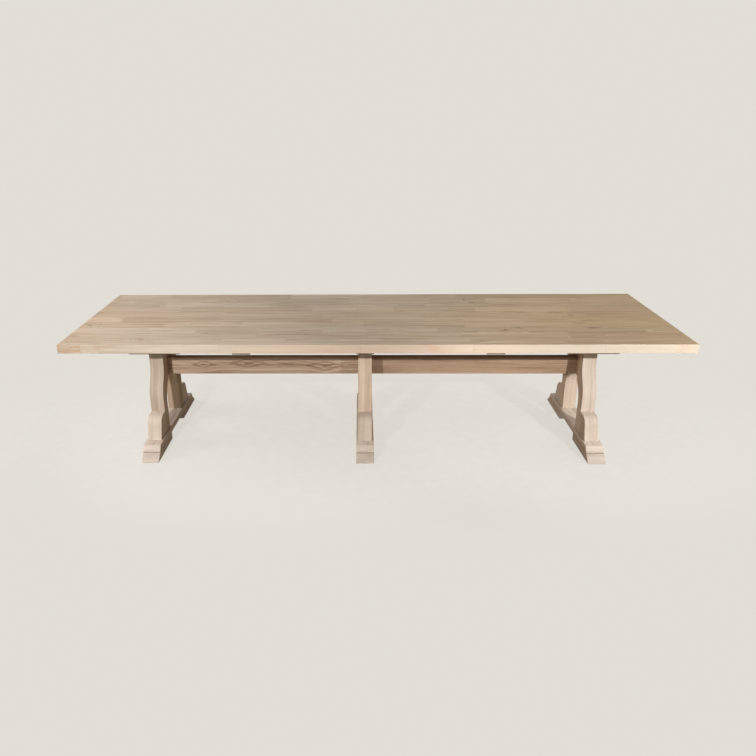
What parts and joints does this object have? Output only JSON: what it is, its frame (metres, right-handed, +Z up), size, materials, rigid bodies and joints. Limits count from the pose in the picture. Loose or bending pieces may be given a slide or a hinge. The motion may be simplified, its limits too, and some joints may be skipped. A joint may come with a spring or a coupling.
{
  "type": "trestle dining table",
  "caption": "Long trestle dining table of pale limed wood: plank top on arched trestles with rounded shoulder blocks and sloping toes, tied by a high stretcher.",
  "frame": {"origin": "on the floor, under the middle of the top", "axes": "+X along the table, +Y across it towards the back, +Z up"},
  "size_m": [3.5, 1.1, 0.76],
  "materials": {
    "top_wood": "limed, matt, with fine lengthwise grain",
    "base_wood": "limed, matt",
    "peg_wood": "bare turned dowel",
    "screw_steel": "zinc plated"
  },
  "bodies": {
    "root": {"top_board_01": "top_wood", "top_board_02": "top_wood", "top_board_03": "top_wood", "top_board_04": "top_wood", "top_board_05": "top_wood", "top_board_06": "top_wood", "top_board_07": "top_wood", "top_board_08": "top_wood", "top_board_09": "top_wood", "top_board_10": "top_wood", "bearer_left": "base_wood", "bearer_centre": "base_wood", "bearer_right": "base_wood", "batten_left": "base_wood", "batten_right": "base_wood", "foot_beam_left": "base_wood", "front_pad_left": "base_wood", "back_pad_left": "base_wood", "front_leg_left": "base_wood", "back_leg_left": "base_wood", "front_shoulder_left": "base_wood", "back_shoulder_left": "base_wood", "crosspiece_left": "base_wood", "foot_beam_centre": "base_wood", "front_pad_centre": "base_wood", "back_pad_centre": "base_wood", "front_leg_centre": "base_wood", "back_leg_centre": "base_wood", "front_shoulder_centre": "base_wood", "back_shoulder_centre": "base_wood", "crosspiece_centre": "base_wood", "foot_beam_right": "base_wood", "front_pad_right": "base_wood", "back_pad_right": "base_wood", "front_leg_right": "base_wood", "back_leg_right": "base_wood", "front_shoulder_right": "base_wood", "back_shoulder_right": "base_wood", "crosspiece_right": "base_wood", "stretcher_left": "base_wood", "stretcher_right": "base_wood", "tenon_pegs": "peg_wood", "top_screws": "screw_steel", "pad_screws": "screw_steel"}
  },
  "joints": []
}
